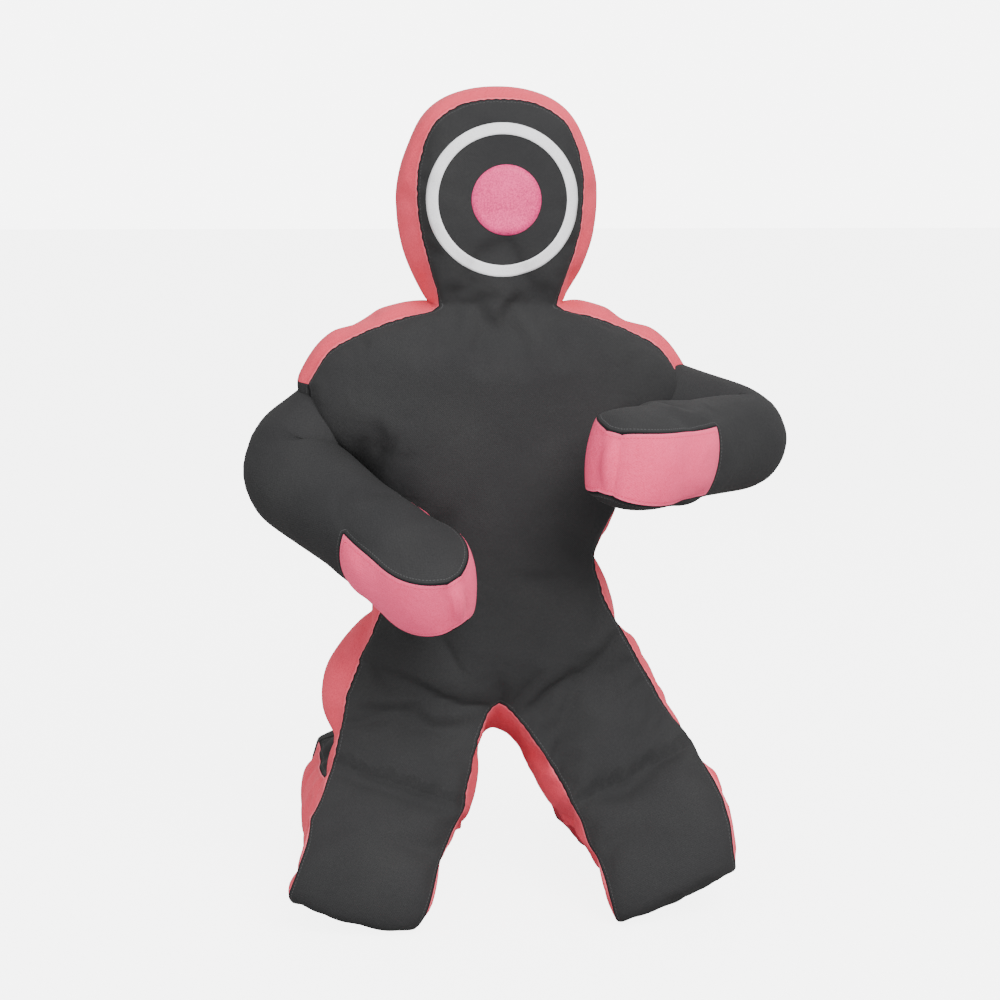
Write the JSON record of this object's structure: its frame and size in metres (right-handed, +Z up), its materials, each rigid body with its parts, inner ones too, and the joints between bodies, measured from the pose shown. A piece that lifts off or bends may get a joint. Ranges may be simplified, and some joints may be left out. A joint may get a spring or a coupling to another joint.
{
  "type": "kneeling grappling dummy",
  "caption": "Kneeling stuffed canvas grappling dummy in black with pink side bands, bent arms with mitten hands held out, folded legs and a ring-and-disc target on the face.",
  "frame": {"origin": "on the floor, under the middle of the box round the whole dummy", "axes": "+Z up; the dummy faces -Y; its own right side is at -X"},
  "size_m": [0.6564, 0.5958, 1],
  "materials": {
    "black_canvas": "matte woven canvas",
    "pink_canvas": "matte woven canvas",
    "stuffing": "packed textile offcuts inside the covers",
    "white_print": "matte print",
    "pink_print": "matte print",
    "zip_cloth": "matte woven tape",
    "zip_plastic": "satin plastic teeth",
    "zip_metal": "dark satin metal"
  },
  "bodies": {
    "torso": {"torso_fill": "stuffing", "torso_front_panel": "black_canvas", "torso_back_panel": "black_canvas", "left_side_gusset": "pink_canvas", "right_side_gusset": "pink_canvas", "zip_tape": "zip_cloth", "zip_teeth": "zip_plastic", "zip_bottom_stop": "zip_metal", "zip_top_stop": "zip_metal"},
    "zip_slider": {"zip_slider": "zip_metal"},
    "zip_pull": {"zip_pull": "zip_metal"},
    "neck": {"neck_pad": "black_canvas"},
    "head": {"head_fill": "stuffing", "face_panel": "black_canvas", "head_back_panel": "black_canvas", "head_gusset": "pink_canvas", "target_ring": "white_print", "target_disc": "pink_print"},
    "right_shoulder": {"right_shoulder_pad": "black_canvas"},
    "right_upper_arm": {"right_upper_arm_fill": "stuffing", "right_upper_arm_sleeve": "black_canvas", "right_elbow_pad": "black_canvas"},
    "right_forearm": {"right_forearm_fill": "stuffing", "right_forearm_sleeve": "black_canvas", "right_hand_gusset": "pink_canvas", "right_hand_top_panel": "black_canvas", "right_hand_palm_panel": "black_canvas"},
    "left_shoulder": {"left_shoulder_pad": "black_canvas"},
    "left_upper_arm": {"left_upper_arm_fill": "stuffing", "left_upper_arm_sleeve": "black_canvas", "left_elbow_pad": "black_canvas"},
    "left_forearm": {"left_forearm_fill": "stuffing", "left_forearm_sleeve": "black_canvas", "left_hand_gusset": "pink_canvas", "left_hand_top_panel": "black_canvas", "left_hand_palm_panel": "black_canvas"},
    "right_hip": {"right_hip_pad": "black_canvas"},
    "right_thigh": {"right_thigh_fill": "stuffing", "right_thigh_front_panel": "black_canvas", "right_thigh_back_panel": "black_canvas", "right_thigh_inner_gusset": "pink_canvas", "right_thigh_outer_gusset": "pink_canvas", "right_knee_pad": "black_canvas"},
    "right_shin": {"right_shin_fill": "stuffing", "right_shin_front_panel": "black_canvas", "right_shin_back_panel": "black_canvas", "right_shin_inner_gusset": "pink_canvas", "right_shin_outer_gusset": "pink_canvas"},
    "left_hip": {"left_hip_pad": "black_canvas"},
    "left_thigh": {"left_thigh_fill": "stuffing", "left_thigh_front_panel": "black_canvas", "left_thigh_back_panel": "black_canvas", "left_thigh_inner_gusset": "pink_canvas", "left_thigh_outer_gusset": "pink_canvas", "left_knee_pad": "black_canvas"},
    "left_shin": {"left_shin_fill": "stuffing", "left_shin_front_panel": "black_canvas", "left_shin_back_panel": "black_canvas", "left_shin_inner_gusset": "pink_canvas", "left_shin_outer_gusset": "pink_canvas"}
  },
  "joints": [
    {"name": "neck_turn", "type": "hinge", "parent": "torso", "child": "neck", "pos_m": [-0.0305, 0.0054, 0.72], "axis": [0, 0, 1], "range_deg": [-45, 45]},
    {"name": "neck_nod", "type": "hinge", "parent": "neck", "child": "head", "pos_m": [-0.0305, 0.0054, 0.72], "axis": [1, 0, 0], "range_deg": [-20, 20]},
    {"name": "right_shoulder_swing", "type": "hinge", "parent": "torso", "child": "right_shoulder", "pos_m": [-0.1955, 0.0054, 0.65], "axis": [-1, 0, 0], "range_deg": [0, 60]},
    {"name": "right_shoulder_spread", "type": "hinge", "parent": "right_shoulder", "child": "right_upper_arm", "pos_m": [-0.1955, 0.0054, 0.65], "axis": [0, 1, 0], "range_deg": [0, 40]},
    {"name": "right_elbow", "type": "hinge", "parent": "right_upper_arm", "child": "right_forearm", "pos_m": [-0.2735, -0.0166, 0.545], "axis": [0.5013, 0.6934, -0.5177], "range_deg": [0, 70]},
    {"name": "left_shoulder_swing", "type": "hinge", "parent": "torso", "child": "left_shoulder", "pos_m": [0.1345, 0.0054, 0.65], "axis": [-1, 0, 0], "range_deg": [-20, 45]},
    {"name": "left_shoulder_spread", "type": "hinge", "parent": "left_shoulder", "child": "left_upper_arm", "pos_m": [0.1345, 0.0054, 0.65], "axis": [0, -1, 0], "range_deg": [0, 40]},
    {"name": "left_elbow", "type": "hinge", "parent": "left_upper_arm", "child": "left_forearm", "pos_m": [0.2735, -0.0446, 0.566], "axis": [0.3942, -0.3392, 0.8542], "range_deg": [-5, 70]},
    {"name": "right_hip_swing", "type": "hinge", "parent": "torso", "child": "right_hip", "pos_m": [-0.1425, 0.0054, 0.243], "axis": [-1, 0, 0], "range_deg": [-25, 35]},
    {"name": "right_hip_spread", "type": "hinge", "parent": "right_hip", "child": "right_thigh", "pos_m": [-0.1425, 0.0054, 0.243], "axis": [0, 1, 0], "range_deg": [-10, 15]},
    {"name": "right_knee", "type": "hinge", "parent": "right_thigh", "child": "right_shin", "pos_m": [-0.1985, -0.1066, 0.082], "axis": [-0.956, 0.0679, 0.2853], "range_deg": [0, 75]},
    {"name": "left_hip_swing", "type": "hinge", "parent": "torso", "child": "left_hip", "pos_m": [0.0815, 0.0054, 0.243], "axis": [-1, 0, 0], "range_deg": [-25, 35]},
    {"name": "left_hip_spread", "type": "hinge", "parent": "left_hip", "child": "left_thigh", "pos_m": [0.0815, 0.0054, 0.243], "axis": [0, -1, 0], "range_deg": [-10, 15]},
    {"name": "left_knee", "type": "hinge", "parent": "left_thigh", "child": "left_shin", "pos_m": [0.1555, -0.1066, 0.087], "axis": [-0.9217, -0.0805, -0.3794], "range_deg": [0, 75]},
    {"name": "zip_slide", "type": "slide", "parent": "torso", "child": "zip_slider", "axis": [0, 0, -1], "range_m": [0, 0.222]},
    {"name": "zip_pull_hinge", "type": "hinge", "parent": "zip_slider", "child": "zip_pull", "pos_m": [-0.0305, 0.1068, 0.59], "axis": [1, 0, 0], "range_deg": [0, 150]}
  ]
}
